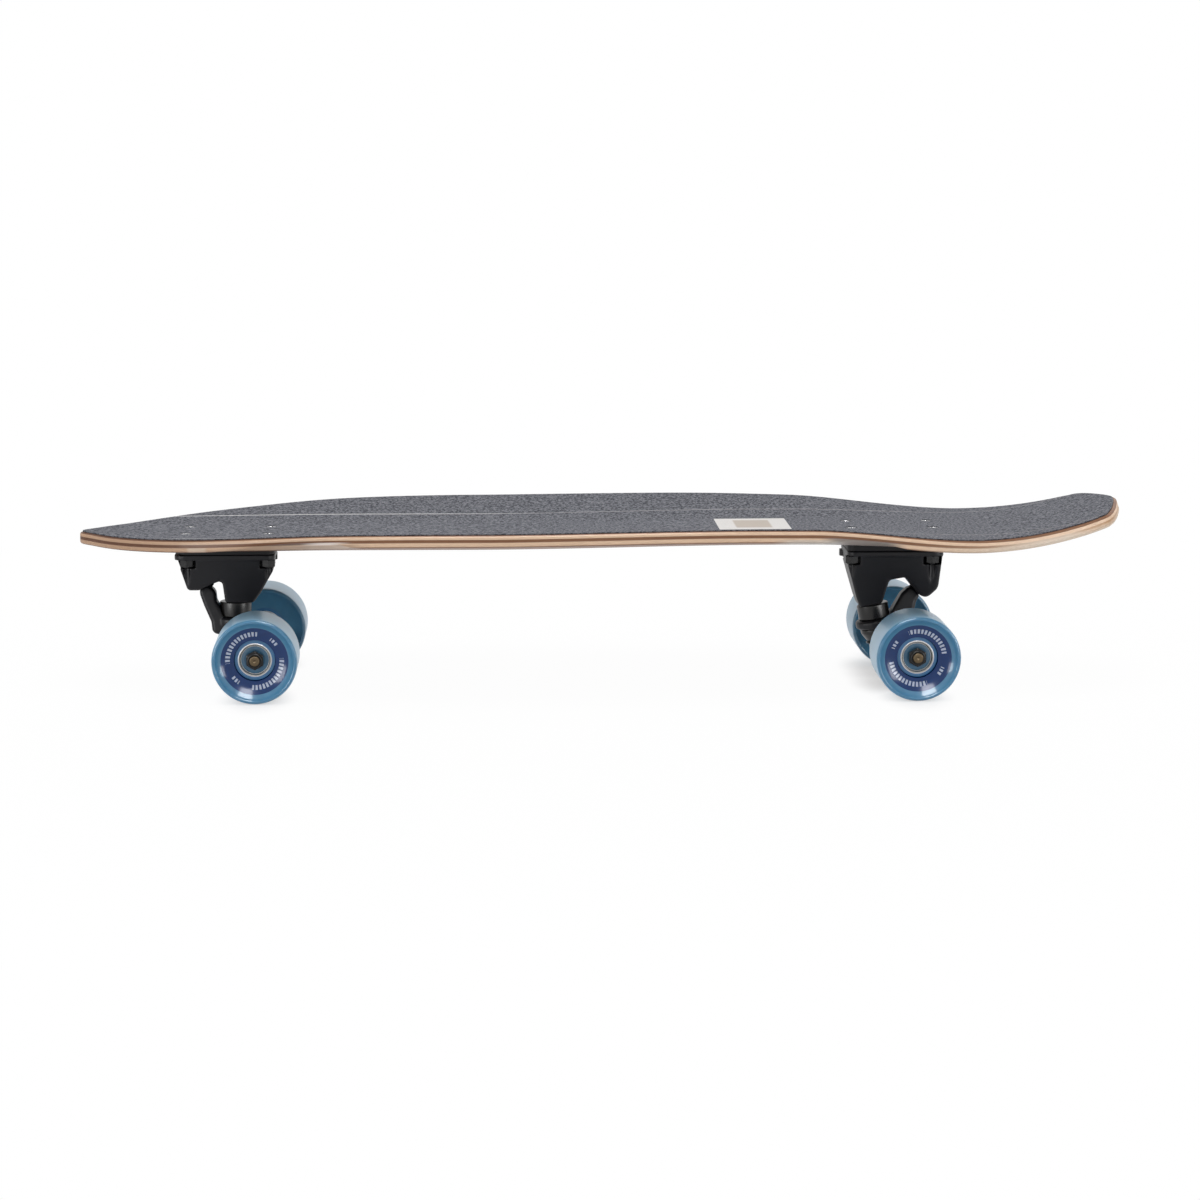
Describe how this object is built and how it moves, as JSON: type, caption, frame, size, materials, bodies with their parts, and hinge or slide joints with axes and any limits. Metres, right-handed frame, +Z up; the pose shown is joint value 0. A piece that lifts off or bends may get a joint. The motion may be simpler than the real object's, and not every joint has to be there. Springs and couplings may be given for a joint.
{
  "type": "surfskate",
  "caption": "Surfskate: a pointed concave deck with a kicktail and grip on two tall sprung trucks that steer about slanted axes, with wide soft wheels on ball bearings.",
  "frame": {"origin": "on the ground, midway between nose and tail and between the rails", "axes": "+X along the board from nose to tail, +Y across it, +Z up"},
  "size_m": [0.8124, 0.2476, 0.1442],
  "materials": {
    "maple": "clear satin lacquer on seven-ply maple",
    "grip": "fine grit sheet",
    "black_plastic": "moulded, satin",
    "black_paint": "semi-matte powder coat on cast aluminium",
    "black_urethane": "satin",
    "steel": "ground",
    "bronzed_steel": "oiled, brown",
    "black_steel": "black oxide",
    "blue_urethane": "smooth, slightly glossy",
    "core_plastic": "moulded, gloss"
  },
  "bodies": {
    "deck": {"deck": "maple", "grip_middle": "grip", "grip_left": "grip", "grip_right": "grip", "front_riser": "black_plastic", "front_base": "black_paint", "front_pivot_cup": "black_urethane", "front_kingpin": "black_steel", "front_kingpin_nut": "black_steel", "front_kingpin_washer": "black_steel", "front_upper_bushing": "black_urethane", "front_lower_bushing": "black_urethane", "front_bolt_1": "black_steel", "front_bolt_2": "black_steel", "front_bolt_3": "black_steel", "front_bolt_4": "black_steel", "rear_riser": "black_plastic", "rear_base": "black_paint", "rear_pivot_cup": "black_urethane", "rear_kingpin": "black_steel", "rear_kingpin_nut": "black_steel", "rear_kingpin_washer": "black_steel", "rear_upper_bushing": "black_urethane", "rear_lower_bushing": "black_urethane", "rear_bolt_1": "black_steel", "rear_bolt_2": "black_steel", "rear_bolt_3": "black_steel", "rear_bolt_4": "black_steel"},
    "front_hanger": {"front_hanger": "black_paint", "front_axle": "bronzed_steel", "front_left_axle_nut": "black_steel", "front_right_axle_nut": "black_steel", "front_left_spacer": "steel", "front_right_spacer": "steel"},
    "rear_hanger": {"rear_hanger": "black_paint", "rear_axle": "bronzed_steel", "rear_left_axle_nut": "black_steel", "rear_right_axle_nut": "black_steel", "rear_left_spacer": "steel", "rear_right_spacer": "steel"},
    "front_left_wheel": {"front_left_tyre": "blue_urethane", "front_left_core": "core_plastic", "front_left_outer_bearing": "steel", "front_left_inner_bearing": "steel"},
    "front_right_wheel": {"front_right_tyre": "blue_urethane", "front_right_core": "core_plastic", "front_right_outer_bearing": "steel", "front_right_inner_bearing": "steel"},
    "rear_left_wheel": {"rear_left_tyre": "blue_urethane", "rear_left_core": "core_plastic", "rear_left_outer_bearing": "steel", "rear_left_inner_bearing": "steel"},
    "rear_right_wheel": {"rear_right_tyre": "blue_urethane", "rear_right_core": "core_plastic", "rear_right_outer_bearing": "steel", "rear_right_inner_bearing": "steel"}
  },
  "joints": [
    {"name": "front_steer", "type": "hinge", "parent": "deck", "child": "front_hanger", "pos_m": [-0.28625, 0, 0.0487], "axis": [-0.617, 0, 0.787], "range_deg": [-22, 22], "stiffness_Nm_per_rad": 35, "deforming": ["front_upper_bushing", "front_lower_bushing"]},
    {"name": "rear_steer", "type": "hinge", "parent": "deck", "child": "rear_hanger", "pos_m": [0.21596, 0, 0.04494], "axis": [0.7576, 0, 0.6527], "range_deg": [-18, 18], "stiffness_Nm_per_rad": 45, "deforming": ["rear_upper_bushing", "rear_lower_bushing"]},
    {"name": "front_left_spin", "type": "hinge", "parent": "front_hanger", "child": "front_left_wheel", "pos_m": [-0.26675, 0.0793, 0.0325], "axis": [0, 1, 0], "continuous": true},
    {"name": "front_right_spin", "type": "hinge", "parent": "front_hanger", "child": "front_right_wheel", "pos_m": [-0.26675, -0.0793, 0.0325], "axis": [0, 1, 0], "continuous": true},
    {"name": "rear_left_spin", "type": "hinge", "parent": "rear_hanger", "child": "rear_left_wheel", "pos_m": [0.23725, 0.0793, 0.0325], "axis": [0, 1, 0], "continuous": true},
    {"name": "rear_right_spin", "type": "hinge", "parent": "rear_hanger", "child": "rear_right_wheel", "pos_m": [0.23725, -0.0793, 0.0325], "axis": [0, 1, 0], "continuous": true}
  ]
}
